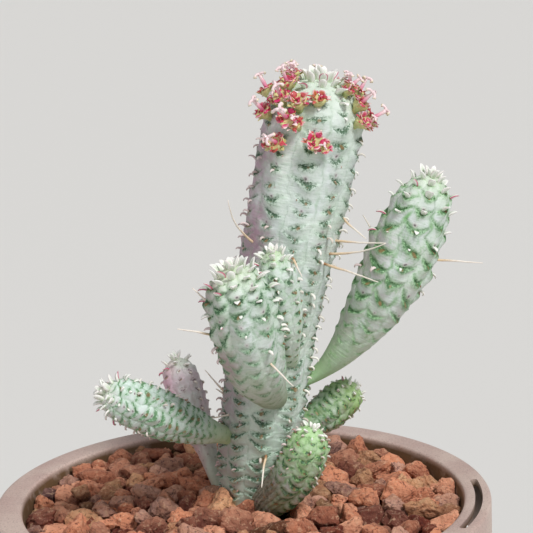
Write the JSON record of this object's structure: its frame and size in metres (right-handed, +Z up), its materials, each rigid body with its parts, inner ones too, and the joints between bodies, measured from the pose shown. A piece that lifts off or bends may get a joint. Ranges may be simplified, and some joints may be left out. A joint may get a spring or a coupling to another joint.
{
  "type": "potted euphorbia",
  "caption": "Variegated cob-like spurge with branching tubercled stems, thorns and a crown of tiny blooms, in a round plastic pot topped with crushed lava.",
  "frame": {"origin": "centre of the pot's foot, on the surface that the pot stands on", "axes": "+Z up the pot's axis, -Y the front seen in the picture, +X to the right in that view"},
  "size_m": [0.15, 0.15, 0.2385],
  "materials": {
    "pot": "weathered pinkish-beige plastic with fine dark dust specks",
    "soil": "dark gritty potting mix",
    "gravel": "rough crushed lava, orange-red to brown and grey-purple",
    "stem": "waxy pale mint skin with dark green creases, a mauve flush and yellow-green tips",
    "bloom": "yellow-green cups, magenta to orange glands and pink-white styles"
  },
  "bodies": {
    "root": {"pot": "pot", "soil": "soil", "gravel": "gravel", "trunk": "stem", "branch_front": "stem", "branch_slim": "stem", "branch_right": "stem", "branch_left": "stem", "branch_back": "stem", "branch_foot": "stem", "branch_low": "stem", "bloom_01": "bloom", "bloom_02": "bloom", "bloom_03": "bloom", "bloom_04": "bloom", "bloom_05": "bloom", "bloom_06": "bloom", "bloom_07": "bloom", "bloom_08": "bloom", "bloom_09": "bloom", "bloom_10": "bloom", "bloom_11": "bloom", "bloom_12": "bloom", "bloom_13": "bloom", "bloom_14": "bloom", "bloom_15": "bloom", "bloom_16": "bloom", "bloom_17": "bloom", "bloom_18": "bloom", "bloom_19": "bloom", "bloom_20": "bloom"}
  },
  "joints": []
}
